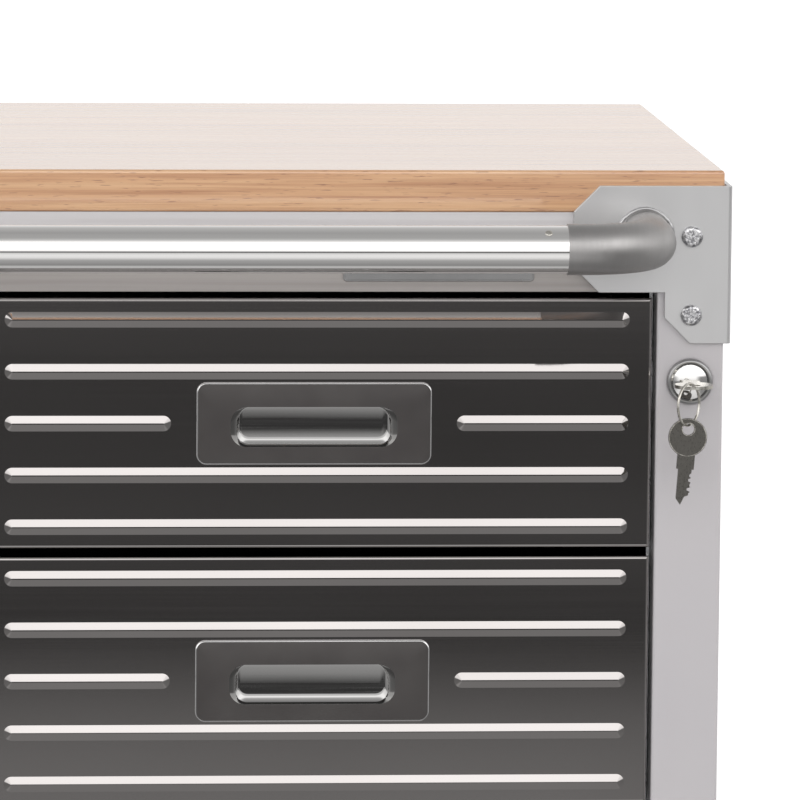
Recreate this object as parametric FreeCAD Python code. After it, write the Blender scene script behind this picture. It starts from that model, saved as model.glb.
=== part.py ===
"""Rolling workbench: beech top, steel cabinet, six drawers, push bar, lock and casters.

Units are millimetres.  +Z is up, the drawers face -Y, and +X is to the right of a
person who stands in front.  The origin is under the middle of the bounding box.
Each node is written to parts/NODE.step; a node of several plates or fasteners is a
compound of separate solids.
"""
import FreeCAD, Part
import math
import os

Vec = FreeCAD.Vector

# ------------------------------------------------------------------ driving dimensions
CABINET_W = 916.0          # over the corner posts, about 36 in
DEPTH = 457.0              # front face to back face, 18 in
CABINET_H = 718.5          # base plate to underside of the worktop
CASTER_H = 158.0           # floor to base plate
TOP_T = 25.0               # beech worktop
TOP_W = 915.2              # a little inside the posts
TOP_EDGE_R = 2.0
SHEET = 1.2                # cabinet and drawer sheet steel
POST = 40.0                # square corner post
POST_WALL = 1.5
RAIL_H = 47.8              # front rail under the worktop
RAIL_RECESS = 2.0          # rail face behind its top lip
RAIL_LIP_H = 8.5
RAIL_DEPTH = 16.0
BOTTOM_RAIL_H = 43.0
TUBE = 20.0                # side and rear rails, square to the panels
TUBE_H = 25.0
TUBE_WALL = 1.5
SKIN = 2.0                 # side and rear skins
BACK_INSET = 2.0           # rear skin in front of the posts' rear faces
BASE_T = 2.0
DIVIDER_W = 25.0

GAP = 3.0                  # beside the drawer fronts
GAP_TOP = 3.7              # over the top drawer
GAP_ROWS = 5.1             # between drawers
ROWS = (("top", 150.3), ("middle", 150.3), ("bottom", 307.7))
FRONT_DEPTH = 18.0         # folded drawer front
FRONT_EDGE_R = 1.8
RIB_PITCH = 31.1
RIB_H = 9.3
RIB_PROUD = 1.75
RIB_MARGIN = 13.4
RIB_LAND = 0.7             # flat on the crest
RIB_GAP = 170.6            # between the short ribs beside the pull

PULL_W = 140.4
PULL_H = 49.4
PULL_T = 1.4
PULL_R = 6.0
PULL_SHIFT = -2.0          # pull's centre from the middle of its front
RECESS_W = 99.6
RECESS_H = 24.0
RECESS_R = 9.0
RECESS_DEPTH = 10.0
RECESS_DROP = 2.0          # recess centre under the plate's centre
CUP_WALL = 1.0

SLIDE_T = 12.7             # between drawer side and cabinet
SLIDE_H = 35.0
SLIDE_LEN = 400.0
SLIDE_START = 28.0         # behind the front face
SLIDE_ABOVE_TRAY = 40.0
TRAY_LIFT = 8.0            # tray floor over the lower edge of its front
TRAY_SHORT = 31.0          # tray lower than its front
TRAY_LEN = 400.0
TAB_DROP = 55.0            # lock tab under the top of its drawer front
TAB = (5.7, 1.5, 10.0)
TAB_START = 26.0           # behind the front face

BAR_OD = 28.0
BAR_WALL = 1.5
ELBOW_OD = 30.0
ELBOW_WALL = 2.0
ELBOW_R = 45.0
BAR_STANDOFF = 78.0        # bar axis in front of the front face
BAR_DROP = 13.9            # bar axis under the worktop
ELBOW_X = 409.8            # elbow axis where it meets its bracket
SLEEVE = 9.0               # straight end that holds the bar
WELD_LEG = 2.3
BRACKET_T = 3.0
FLANGE_GAP = 1.0           # between the posts and the bracket's side flange
BRACKET_REACH = 367.0      # its inner end from the middle of the bench
BRACKET_RISE = 16.1        # over and under the worktop's underside
BRACKET_FALL = 78.4
BRACKET_DEPTH = 52.0
CHAMFER = 15.5
SCREW_DROPS = (14.1, 61.2)
HEAD_R = 6.4
HEAD_H = 3.4
SHANK_R = 2.5
SHANK_LEN = 12.0

LOCK_X = 438.0
LOCK_DROP = 101.5          # lock axis under the worktop
BEZEL_R = 13.0
BARREL_R = 12.0
PLUG_R = 10.5
PLUG_CLEARANCE = 0.05
CAM_PIN_ORBIT = 8.0        # also the travel of the lock bars
CAM_PIN_R = 2.0
YOKE_HALF = 9.0
HOOK_GAP = 1.5             # over the drawer's tab, lock open
LINK_DROPS = (14.5, 26.5)  # link's edges under the worktop
KEY_T = 2.0
KEY_BOW_R = 11.5
KEY_HOLE_R = 3.5
KEY_HOLE_OFFSET = 5.0
KEY_COLLAR = 10.0
KEY_BLADE_W = 8.0
KEY_LEN = 52.0
KEY_REACH = 13.6           # key's tip behind the front face
BIT_PITCH = 2.8
BIT_DEPTHS = (0.9, 2.0, 0.6, 1.6, 1.1)
RING_R = 12.5
RING_WIRE_R = 0.8
RING_TURN = 36.5           # degrees from the fore-and-aft plane
RING_OUT = 7.0             # ring axis from the hole in the key
RING_DROP = 9.7            # ring axis under the key
SPARE_DROP = 2.2           # spare key's hole under the ring's lowest wire
SPARE_TILT = 4.2           # degrees

WHEEL_R = 62.5
WHEEL_T = 32.0
HUB_R = 44.0
AXLE_R = 6.0
BOLT_R = 5.5
AXLE_CLEARANCE = 0.06
KING_PIN_CLEARANCE = 0.3
TRAIL = 34.0               # wheel axis behind the swivel axis, towards the middle
CASTER_PLATE = (100.0, 85.0, 3.0)
CASTER_INSET_X = 75.0
CASTER_INSET_Y = 72.0
PLATE_HOLE_INSET = 12.0
RACE_R = 27.0              # raceway boss and fork crown
RACE_H = 4.0
RACE_GAP = 0.6
FORK_WALL = 3.0
FORK_INSIDE = WHEEL_T / 2 + 2.0
HEX_PLATE_BOLT = (7.5, 4.2)    # corner radius and height
HEX_AXLE = (9.0, 6.0)
BRAKE_PIN_R = 3.0
BRAKE_OUT = 31.0           # brake pin from the wheel axis
BRAKE_UP = 73.0

# ---------------------------------------------------------------------- derived places
HALF_W = CABINET_W / 2
BAR_REACH = BAR_STANDOFF + ELBOW_OD / 2
FRONT = -(DEPTH - BAR_REACH) / 2
BACK = FRONT + DEPTH
BASE_Z = CASTER_H
FRAME_Z = BASE_Z + BASE_T
TOP_Z = BASE_Z + CABINET_H
POST_IN = HALF_W - POST
FLANGE_X = HALF_W + FLANGE_GAP
CROWN_Z = BASE_Z - CASTER_PLATE[2] - RACE_H - RACE_GAP
BAR_Z = TOP_Z - BAR_DROP
BAR_Y = FRONT - BAR_STANDOFF
LOCK_Z = TOP_Z - LOCK_DROP
YOKE_Y = (FRONT + 21.5, FRONT + 23.5)
LOCK_BAR_Y = (FRONT + 21.0, FRONT + 24.0)
COLUMNS = (("left", -POST_IN + GAP, -DIVIDER_W / 2 - GAP),
           ("right", DIVIDER_W / 2 + GAP, POST_IN - GAP))


# ----------------------------------------------------------------------------- helpers
def block(x0, x1, y0, y1, z0, z1):
    """A box from its lowest corner to its highest."""
    return Part.makeBox(x1 - x0, y1 - y0, z1 - z0, Vec(x0, y0, z0))


def rod(radius, start, end):
    """A cylinder from one point to another."""
    start = Vec(*start)
    along = Vec(*end) - start
    return Part.makeCylinder(radius, along.Length, start, along)


def prism(points, offset):
    """A flat outline of 3-D points, pushed along an offset."""
    outline = Part.makePolygon([Vec(*p) for p in points] + [Vec(*points[0])])
    return Part.Face(outline).extrude(Vec(*offset))


def mirrored(shape):
    """The same shape on the other side of the middle plane."""
    return shape.mirror(Vec(0, 0, 0), Vec(1, 0, 0))


def turned(shape, centre, axis, degrees):
    """A turned copy."""
    copy = shape.copy()
    copy.rotate(Vec(*centre), Vec(*axis), degrees)
    return copy


def moved(shape, x=0.0, y=0.0, z=0.0):
    """A shifted copy."""
    copy = shape.copy()
    copy.translate(Vec(x, y, z))
    return copy


def fuse(shapes):
    """One clean solid from shapes that overlap or touch."""
    joined = shapes[0].fuse(shapes[1:]).removeSplitter()
    return joined.Solids[0] if len(joined.Solids) == 1 else joined


def edges_where(shape, test):
    """The edges whose vertices all pass a test."""
    return [e for e in shape.Edges if all(test(v.Point) for v in e.Vertexes)]


def along(shape, axis):
    """The straight edges parallel to an axis: 0 is X, 1 is Y, 2 is Z."""
    found = []
    for edge in shape.Edges:
        if len(edge.Vertexes) != 2 or not isinstance(edge.Curve, Part.Line):
            continue
        step = edge.Vertexes[1].Point - edge.Vertexes[0].Point
        others = [abs(step[i]) for i in range(3) if i != axis]
        if abs(step[axis]) > 1e-6 and max(others) < 1e-6:
            found.append(edge)
    return found


def round_plate(width, height, radius, centre, y0, y1):
    """A plate facing -Y with rounded corners."""
    x, z = centre
    plate = block(x - width / 2, x + width / 2, y0, y1, z - height / 2, z + height / 2)
    return plate.makeFillet(radius, along(plate, 1))


def export(name, *shapes):
    """Write one node."""
    solids = [solid for shape in shapes for solid in shape.Solids]
    for solid in solids:
        if not solid.isValid() or solid.Volume <= 0:
            raise ValueError(name + " has a bad solid")
    whole = solids[0] if len(solids) == 1 else Part.makeCompound(solids)
    whole.exportStep(os.path.join("parts", name + ".step"))
    print("%-28s %2d solids %10.0f mm3" % (name, len(solids), sum(s.Volume for s in solids)))


# ----------------------------------------------------------------------------- cabinet
def worktop():
    """Solid beech board with eased edges."""
    board = block(-TOP_W / 2, TOP_W / 2, FRONT, BACK, TOP_Z, TOP_Z + TOP_T)
    return board.makeFillet(TOP_EDGE_R, board.Edges)


def post(x0, y0):
    """Square tube with rounded corners."""
    outer = block(x0, x0 + POST, y0, y0 + POST, FRAME_Z, TOP_Z)
    outer = outer.makeFillet(1.5, along(outer, 2))
    wall = POST_WALL
    inner = block(x0 + wall, x0 + POST - wall, y0 + wall, y0 + POST - wall, FRAME_Z, TOP_Z)
    return outer.cut(inner)


def corner_posts():
    """Four posts; the front right one is pierced for the lock and its yoke."""
    posts = [post(x, y) for x in (-HALF_W, POST_IN) for y in (FRONT, BACK - POST)]
    lock_hole = rod(BARREL_R, (LOCK_X, FRONT - 1, LOCK_Z), (LOCK_X, FRONT + 3, LOCK_Z))
    yoke_slot = block(POST_IN - 1, POST_IN + 3, YOKE_Y[0] - 1.5, YOKE_Y[1] + 1.5,
                      LOCK_Z - YOKE_HALF - CAM_PIN_ORBIT - 2, LOCK_Z + YOKE_HALF + 2)
    holes = [lock_hole, yoke_slot] + screw_shanks()
    return [p.cut(holes) for p in posts]


def front_rail():
    """Folded rail with a proud top lip and two stiffening returns."""
    lip = block(-POST_IN, POST_IN, FRONT, FRONT + RAIL_RECESS + SHEET,
                TOP_Z - RAIL_LIP_H, TOP_Z)
    lip = lip.makeFillet(0.8, edges_where(lip, lambda p: p.y < FRONT + 0.1
                                          and p.z < TOP_Z - 1))
    face_y = FRONT + RAIL_RECESS
    face = block(-POST_IN, POST_IN, face_y, face_y + SHEET, TOP_Z - RAIL_H, TOP_Z)
    shelf = block(-POST_IN, POST_IN, face_y, FRONT + RAIL_DEPTH, TOP_Z - SHEET, TOP_Z)
    foot = block(-POST_IN, POST_IN, face_y, FRONT + RAIL_DEPTH,
                 TOP_Z - RAIL_H, TOP_Z - RAIL_H + SHEET)
    return fuse([lip, face, shelf, foot])


def top_rails():
    """Two side rails and a rear rail under the worktop."""
    return side_and_rear_rails(TOP_Z - TUBE_H, TOP_Z)


def bottom_rails():
    """Front, rear and side rails on the base plate."""
    z0, z1 = FRAME_Z, FRAME_Z + BOTTOM_RAIL_H
    front = block(-POST_IN, POST_IN, FRONT, FRONT + RAIL_DEPTH, z0, z1)
    return [hollow(front, TUBE_WALL)] + side_and_rear_rails(z0, z1)


def side_and_rear_rails(z0, z1):
    """Three tubes between the posts, against the skins."""
    rear = BACK - BACK_INSET - SKIN
    rails = [block(-POST_IN, POST_IN, rear - TUBE, rear, z0, z1)]
    for x in (-HALF_W + SKIN, HALF_W - SKIN - TUBE):
        rails.append(block(x, x + TUBE, FRONT + POST, BACK - POST, z0, z1))
    return [hollow(rail, TUBE_WALL) for rail in rails]


def hollow(bar, wall):
    """A closed bar made into a tube along its longest side."""
    b = bar.BoundBox
    spans = (b.XLength, b.YLength, b.ZLength)
    inset = [0.0 if span == max(spans) else wall for span in spans]
    core = block(b.XMin + inset[0], b.XMax - inset[0], b.YMin + inset[1],
                 b.YMax - inset[1], b.ZMin + inset[2], b.ZMax - inset[2])
    return bar.cut(core)


def side_panels():
    """Flat skins between the posts, flush with them."""
    skin = block(HALF_W - SKIN, HALF_W, FRONT + POST, BACK - POST, FRAME_Z, TOP_Z)
    return [skin, mirrored(skin)]


def back_panel():
    """Rear skin between the rear posts."""
    rear = BACK - BACK_INSET
    return block(-POST_IN, POST_IN, rear - SKIN, rear, FRAME_Z, TOP_Z)


def base_pan():
    """Base plate under the whole frame."""
    plate = block(-HALF_W, HALF_W, FRONT, BACK, BASE_Z, FRAME_Z)
    return plate.makeFillet(1.5, along(plate, 2))


def centre_divider():
    """Front mullion and two slide-carrying sheets behind it."""
    half = DIVIDER_W / 2
    z0, z1 = FRAME_Z + BOTTOM_RAIL_H, TOP_Z - RAIL_H
    mullion = hollow(block(-half, half, FRONT, FRONT + RAIL_DEPTH, z0, z1), TUBE_WALL)
    rear = BACK - BACK_INSET - SKIN - TUBE
    sheet = block(half - SHEET, half, FRONT + SLIDE_START, rear, FRAME_Z,
                  TOP_Z - TUBE_H - 1)
    return [mullion, sheet, mirrored(sheet)]


# ------------------------------------------------------------------ brackets and screws
def bracket_right():
    """Folded corner bracket: an L-shaped face and a chamfered side flange."""
    left, right = BRACKET_REACH, FLANGE_X + BRACKET_T
    top, arm, foot = TOP_Z + BRACKET_RISE, TOP_Z - RAIL_H, TOP_Z - BRACKET_FALL
    inner = POST_IN + 4
    face = [(left, top - CHAMFER), (left + CHAMFER, top), (right, top), (right, foot),
            (inner + CHAMFER, foot), (inner, foot + CHAMFER), (inner, arm),
            (left + CHAMFER, arm), (left, arm + CHAMFER)]
    y0 = FRONT - BRACKET_T
    plate = prism([(x, y0, z) for x, z in face], (0, BRACKET_T, 0))
    deep = BRACKET_DEPTH
    side = [(0, top), (deep - CHAMFER, top), (deep, top - CHAMFER), (deep, arm + CHAMFER),
            (deep - CHAMFER, arm), (deep - CHAMFER, foot + CHAMFER),
            (deep - 2 * CHAMFER, foot), (0, foot)]
    flange = prism([(FLANGE_X, y0 + y, z) for y, z in side], (BRACKET_T, 0, 0))
    body = fuse([plate, flange])
    bend = edges_where(body, lambda p: p.x > right - 0.01 and p.y < y0 + 0.01)
    body = body.makeFillet(2.5, bend)
    rim = edges_where(body, lambda p: p.y < y0 + 0.01)
    return body.makeFillet(0.4, rim)


def screw_places():
    """Head seats of the two screws in the right bracket."""
    return [Vec(LOCK_X, FRONT - BRACKET_T, TOP_Z - drop) for drop in SCREW_DROPS]


def screw_shanks():
    """Shanks of all bracket screws, also used to cut their holes."""
    shanks = []
    for seat in screw_places():
        shank = rod(SHANK_R, seat, seat + Vec(0, SHANK_LEN, 0))
        shanks += [shank, mirrored(shank)]
    return shanks


def pan_screw(seat):
    """Pan-head screw with a cross recess."""
    head = rod(HEAD_R, seat - Vec(0, HEAD_H, 0), seat)
    rim = [e for e in head.Edges if e.BoundBox.YMax < seat.y - 1]
    head = head.makeFillet(HEAD_H * 0.7, rim)
    shank = rod(SHANK_R, seat, seat + Vec(0, SHANK_LEN, 0))
    long, narrow = HEAD_R / 2, HEAD_R / 10
    recess = []
    for x, z in ((long, narrow), (narrow, long)):
        recess.append(block(seat.x - x, seat.x + x, seat.y - HEAD_H - 1, seat.y - 1,
                            seat.z - z, seat.z + z))
    return fuse([head, shank]).cut(recess)


def bracket_screws():
    """Two screws on each side."""
    screws = [pan_screw(seat) for seat in screw_places()]
    return screws + [mirrored(screw) for screw in screws]


# ---------------------------------------------------------------------------- push bar
def elbow_right():
    """Bent tube from the bracket to the bar, with a weld fillet and a counterbore."""
    def bent(radius, sleeve_end):
        face_y = FRONT - BRACKET_T
        turn_y = BAR_Y + ELBOW_R
        turn_x = ELBOW_X - ELBOW_R
        stub = rod(radius, (ELBOW_X, face_y, BAR_Z), (ELBOW_X, turn_y, BAR_Z))
        ring = Part.makeTorus(ELBOW_R, radius, Vec(0, 0, 0), Vec(0, 0, 1), -180, 180, 90)
        ring.rotate(Vec(0, 0, 0), Vec(0, 0, 1), -90)
        ring.translate(Vec(turn_x, turn_y, BAR_Z))
        arm = rod(radius, (turn_x, BAR_Y, BAR_Z), (turn_x - sleeve_end, BAR_Y, BAR_Z))
        return fuse([stub, ring, arm])

    outer = bent(ELBOW_OD / 2, SLEEVE)
    weld = Part.makeCone(ELBOW_OD / 2 + WELD_LEG, ELBOW_OD / 2, WELD_LEG,
                         Vec(ELBOW_X, FRONT - BRACKET_T, BAR_Z), Vec(0, -1, 0))
    socket_x = ELBOW_X - ELBOW_R
    socket = rod(BAR_OD / 2, (socket_x, BAR_Y, BAR_Z), (socket_x - SLEEVE - 1, BAR_Y, BAR_Z))
    solid = fuse([outer, weld])
    return solid.cut([bent(ELBOW_OD / 2 - ELBOW_WALL, SLEEVE + 1), socket])


def push_bar():
    """Straight tube between the elbows."""
    end = ELBOW_X - ELBOW_R
    tube = rod(BAR_OD / 2, (-end, BAR_Y, BAR_Z), (end, BAR_Y, BAR_Z))
    bore = rod(BAR_OD / 2 - BAR_WALL, (-end, BAR_Y, BAR_Z), (end, BAR_Y, BAR_Z))
    return tube.cut(bore)


# ----------------------------------------------------------------------------- drawers
def rib(x0, x1, z):
    """Pressed rib: two flat flanks, a narrow crest and half-round ends."""
    half = RIB_H / 2
    land = RIB_LAND / 2
    crest = FRONT - RIB_PROUD
    root = FRONT + SHEET / 2
    a, b = x0 + half, x1 - half
    section = [(a, root, z - half), (a, FRONT, z - half), (a, crest, z - land),
               (a, crest, z + land), (a, FRONT, z + half), (a, root, z + half)]
    body = [prism(section, (b - a, 0, 0))]
    for x in (a, b):
        body.append(Part.makeCone(half, land, RIB_PROUD, Vec(x, FRONT, z), Vec(0, -1, 0)))
        body.append(rod(half, (x, FRONT, z), (x, root, z)))
    return fuse(body)


def pull_centre(x0, x1, z0, z1):
    """Centre of the pull plate on a drawer front."""
    return (x0 + x1) / 2 + PULL_SHIFT, (z0 + z1) / 2


def drawer_front(x0, x1, z0, z1):
    """Folded pan with ribs and a cut-out for the pull's cup."""
    pan = block(x0, x1, FRONT, FRONT + FRONT_DEPTH, z0, z1)
    pan = pan.makeFillet(FRONT_EDGE_R, edges_where(pan, lambda p: p.y < FRONT + 0.1))
    cavity = block(x0 + SHEET, x1 - SHEET, FRONT + SHEET, FRONT + FRONT_DEPTH + 1,
                   z0 + SHEET, z1 - SHEET)
    pan = pan.cut(cavity)
    cx, cz = pull_centre(x0, x1, z0, z1)
    count = int((z1 - z0) / 2 // RIB_PITCH)
    ribs = []
    for i in range(-count, count + 1):
        z = cz + i * RIB_PITCH
        if i:
            ribs.append(rib(x0 + RIB_MARGIN, x1 - RIB_MARGIN, z))
        else:
            ribs.append(rib(x0 + RIB_MARGIN, cx - RIB_GAP / 2, z))
            ribs.append(rib(cx + RIB_GAP / 2, x1 - RIB_MARGIN, z))
    hole = round_plate(RECESS_W + 2 * CUP_WALL, RECESS_H + 2 * CUP_WALL,
                       RECESS_R + CUP_WALL, (cx, cz - RECESS_DROP), FRONT - 1, FRONT + 3)
    return fuse([pan] + ribs).cut(hole)


def drawer_pull(x0, x1, z0, z1):
    """Flat plate with a finger cup let into it."""
    cx, cz = pull_centre(x0, x1, z0, z1)
    low = cz - RECESS_DROP
    plate = round_plate(PULL_W, PULL_H, PULL_R, (cx, cz), FRONT - PULL_T, FRONT)
    plate = plate.makeFillet(0.5, edges_where(plate, lambda p: p.y < FRONT - PULL_T + 0.01))
    hole = round_plate(RECESS_W, RECESS_H, RECESS_R, (cx, low), FRONT - 3, FRONT + 1)
    plate = plate.cut(hole)
    cup = round_plate(RECESS_W + 2 * CUP_WALL, RECESS_H + 2 * CUP_WALL,
                      RECESS_R + CUP_WALL, (cx, low), FRONT, FRONT + RECESS_DEPTH)
    inside = round_plate(RECESS_W, RECESS_H, RECESS_R, (cx, low), FRONT - 1,
                         FRONT + RECESS_DEPTH - CUP_WALL)
    return [plate, cup.cut(inside)]


def drawer_tray(x0, x1, z0, z1):
    """Floor, sides, back and inner front, with the tab that the lock hook catches."""
    inset = SLIDE_T - GAP
    left, right = x0 + inset, x1 - inset
    near, far = FRONT + FRONT_DEPTH, FRONT + FRONT_DEPTH + TRAY_LEN
    low = z0 + TRAY_LIFT
    high = low + (z1 - z0) - TRAY_SHORT
    floor = block(left + SHEET, right - SHEET, near + SHEET, far - SHEET, low, low + SHEET)
    sides = [block(x, x + SHEET, near, far, low, high) for x in (left, right - SHEET)]
    ends = [block(left + SHEET, right - SHEET, y, y + SHEET, low, high)
            for y in (near, far - SHEET)]
    tab_z = z1 - TAB_DROP
    reach, thick, height = TAB
    tab_y = FRONT + TAB_START
    tab = block(right, right + reach, tab_y, tab_y + thick, tab_z - height / 2,
                tab_z + height / 2)
    return [floor] + sides + ends + [tab]


def channel(web_x, flange_x, height, sheet, y0, y1, z):
    """C-section: web at web_x, flanges reaching to flange_x."""
    side = 1 if flange_x > web_x else -1
    x_web = sorted((web_x, web_x + side * sheet))
    x_all = sorted((web_x, flange_x))
    half = height / 2
    web = block(x_web[0], x_web[1], y0, y1, z - half, z + half)
    upper = block(x_all[0], x_all[1], y0, y1, z + half - sheet, z + half)
    lower = block(x_all[0], x_all[1], y0, y1, z - half, z - half + sheet)
    return fuse([web, upper, lower])


def slide_z(z0):
    """Height of a drawer's slides."""
    return z0 + TRAY_LIFT + SLIDE_ABOVE_TRAY


def slide_members(x0, x1, z0):
    """Outer, middle and inner members of both slides of one drawer."""
    z = slide_z(z0)
    start = FRONT + SLIDE_START
    outer, middle, inner = [], [], []
    for wall, inward in ((x1 + GAP, -1), (x0 - GAP, 1)):
        def at(distance):
            return wall + inward * distance
        outer.append(channel(wall, at(9.2), SLIDE_H, SHEET, start, start + SLIDE_LEN, z))
        middle.append(channel(at(3.4), at(10.4), SLIDE_H - 5, SHEET,
                              start + 2, start + SLIDE_LEN - 2, z))
        inner.append(channel(at(SLIDE_T), at(6.0), SLIDE_H - 9, SHEET,
                             FRONT + 20, FRONT + 416, z))
    return outer, middle, inner


def drawer_boxes():
    """Name and extent of each drawer front."""
    boxes = []
    for column, x0, x1 in COLUMNS:
        z1 = TOP_Z - RAIL_H - GAP_TOP
        for row, height in ROWS:
            boxes.append((column + "_" + row, x0, x1, z1 - height, z1))
            z1 -= height + GAP_ROWS
    return boxes


# -------------------------------------------------------------------------------- lock
def lock_housing():
    """Bezel and barrel."""
    bezel = rod(BEZEL_R, (LOCK_X, FRONT - 3.4, LOCK_Z), (LOCK_X, FRONT, LOCK_Z))
    bezel = bezel.makeFillet(1.4, [e for e in bezel.Edges if e.BoundBox.YMax < FRONT - 3])
    barrel = rod(BARREL_R, (LOCK_X, FRONT, LOCK_Z), (LOCK_X, FRONT + 17, LOCK_Z))
    bore = rod(PLUG_R + PLUG_CLEARANCE, (LOCK_X, FRONT - 5, LOCK_Z),
               (LOCK_X, FRONT + 18, LOCK_Z))
    return fuse([bezel, barrel]).cut(bore)


def lock_plug():
    """Turning plug with its keyway, cam disc and eccentric pin."""
    plug = rod(PLUG_R, (LOCK_X, FRONT - 2.9, LOCK_Z), (LOCK_X, FRONT + 17.5, LOCK_Z))
    plug = plug.makeFillet(0.8, [e for e in plug.Edges if e.BoundBox.YMax < FRONT - 2])
    disc = rod(11.0, (LOCK_X, FRONT + 17.5, LOCK_Z), (LOCK_X, FRONT + 19.3, LOCK_Z))
    pin_x = LOCK_X - CAM_PIN_ORBIT
    pin = rod(CAM_PIN_R, (pin_x, FRONT + 19.3, LOCK_Z), (pin_x, FRONT + 25.5, LOCK_Z))
    half_w = KEY_BLADE_W / 2 + 0.2
    half_t = KEY_T / 2 + 0.2
    keyway = block(LOCK_X - half_w, LOCK_X + half_w, FRONT - 4, FRONT + 14,
                   LOCK_Z - half_t, LOCK_Z + half_t)
    return fuse([plug, disc, pin]).cut(keyway)


def key():
    """A key standing in the XZ plane, bow centre at the origin, blade down."""
    half = KEY_T / 2
    bow = rod(KEY_BOW_R, (0, -half, 0), (0, half, 0))
    collar_end = -KEY_BOW_R - KEY_COLLAR + 2.5
    collar = block(-5.2, 5.2, -half, half, collar_end, 0)
    tip = KEY_BOW_R - KEY_LEN
    blade = KEY_BLADE_W / 2
    bits = [(-blade, collar_end), (-blade, tip + 3.5), (-1.2, tip), (blade - 3.2, tip + 5)]
    for i, depth in enumerate(BIT_DEPTHS):
        z = tip + 6 + i * BIT_PITCH
        bits += [(blade - depth, z), (blade - depth, z + BIT_PITCH * 0.45),
                 (blade, z + BIT_PITCH * 0.75)]
    bits.append((blade, collar_end))
    blank = prism([(x, -half, z) for x, z in bits], (0, KEY_T, 0))
    groove = block(-1.6, 0.2, -half - 1, -half + 0.5, tip + 4, collar_end)
    hole = rod(KEY_HOLE_R, (0, -half - 1, KEY_HOLE_OFFSET), (0, half + 1, KEY_HOLE_OFFSET))
    return fuse([bow, collar, blank]).cut([hole, groove])


def key_places():
    """Bow centre of the key in the lock, ring centre, and the spare key's hole."""
    collar_front = FRONT - 3.2
    bow_y = collar_front - KEY_COLLAR - KEY_BOW_R + 2.5
    turn = math.radians(RING_TURN)
    out = Vec(-math.sin(turn), -math.cos(turn), 0)
    hole = Vec(LOCK_X, bow_y - KEY_HOLE_OFFSET, LOCK_Z)
    ring = hole + out * RING_OUT - Vec(0, 0, RING_DROP)
    spare_hole = ring - Vec(0, 0, RING_R + SPARE_DROP)
    return Vec(LOCK_X, bow_y, LOCK_Z), ring, spare_hole, out


def lock_key():
    """The key in the lock, lying flat with its bow towards the user."""
    bow, _, _, _ = key_places()
    blank = key()
    flat = turned(blank, (0, 0, 0), (1, 0, 0), 90)
    flat.translate(bow)
    reach = FRONT + KEY_REACH
    trim = block(LOCK_X - 20, LOCK_X + 20, reach, reach + 60, LOCK_Z - 5, LOCK_Z + 5)
    return flat.cut(trim)


def key_ring():
    """Split ring, modelled as one round loop."""
    _, centre, _, out = key_places()
    normal = out.cross(Vec(0, 0, 1))
    return Part.makeTorus(RING_R, RING_WIRE_R, centre, normal)


def spare_key():
    """Second key hanging from the ring."""
    _, _, hole, _ = key_places()
    hung = moved(key(), hole.x, hole.y, hole.z - KEY_HOLE_OFFSET)
    return turned(hung, hole, (0, 1, 0), SPARE_TILT)


def lock_bars():
    """Sliding frame: two hooked bars, a link over the drawers and the cam yoke."""
    y0, y1 = LOCK_BAR_Y
    boxes = drawer_boxes()
    link_z0, link_z1 = TOP_Z - LINK_DROPS[1], TOP_Z - LINK_DROPS[0]
    low = min(box[4] for box in boxes) - TAB_DROP + TAB[2] / 2
    solids = []
    for wall in (POST_IN, -DIVIDER_W / 2):
        outer = wall - 0.4
        solids.append(block(outer - 2, outer, y0, y1, low, link_z0))
        for box in boxes:
            if abs(box[2] + GAP - wall) > 1:
                continue
            foot = box[4] - TAB_DROP + TAB[2] / 2 + HOOK_GAP
            solids.append(block(wall - 10.5, outer - 2, y0 + 0.5, y1 - 0.5, foot, foot + 10))
    solids.append(block(-DIVIDER_W / 2 - 2.4, POST_IN - 0.4, y0, y1, link_z0, link_z1))
    plate = block(POST_IN - 0.4, LOCK_X + 8, YOKE_Y[0], YOKE_Y[1],
                  LOCK_Z - YOKE_HALF, LOCK_Z + YOKE_HALF)
    slot = block(LOCK_X - CAM_PIN_ORBIT - 3, LOCK_X + 3, YOKE_Y[0] - 1, YOKE_Y[1] + 1,
                 LOCK_Z - 4.4, LOCK_Z + 4.4)
    return solids + [plate.cut(slot)]


# ----------------------------------------------------------------------------- casters
def caster_rows():
    """Depth of the front and rear casters."""
    return {"front": FRONT + CASTER_INSET_Y, "rear": BACK - CASTER_INSET_Y}


def caster_plate(x, y):
    """Top plate with a raceway boss under it."""
    length, width, thick = CASTER_PLATE
    top = BASE_Z
    plate = block(x - length / 2, x + length / 2, y - width / 2, y + width / 2,
                  top - thick, top)
    plate = plate.makeFillet(8, along(plate, 2))
    boss = rod(RACE_R, (x, y, top - thick - RACE_H), (x, y, top - thick))
    bore = rod(AXLE_R + KING_PIN_CLEARANCE, (x, y, top - thick - RACE_H - 1), (x, y, top + 1))
    return fuse([plate, boss]).cut(bore)


def hexagon(radius, x, z, y0, y1):
    """A hexagon prism along Y."""
    corners = [(x + radius * math.cos(math.radians(60 * i)), y0,
                z + radius * math.sin(math.radians(60 * i))) for i in range(6)]
    return prism(corners, (0, y1 - y0, 0))


def plate_bolts(x, y):
    """Four hexagon bolt heads under a caster plate."""
    length, width, thick = CASTER_PLATE
    radius, height = HEX_PLATE_BOLT
    upright = turned(hexagon(radius, 0, 0, 0, height), (0, 0, 0), (1, 0, 0), -90)
    dx, dy = length / 2 - PLATE_HOLE_INSET, width / 2 - PLATE_HOLE_INSET
    return [moved(upright, x + sx * dx, y + sy * dy, BASE_Z - thick)
            for sx in (-1, 1) for sy in (-1, 1)]


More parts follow.
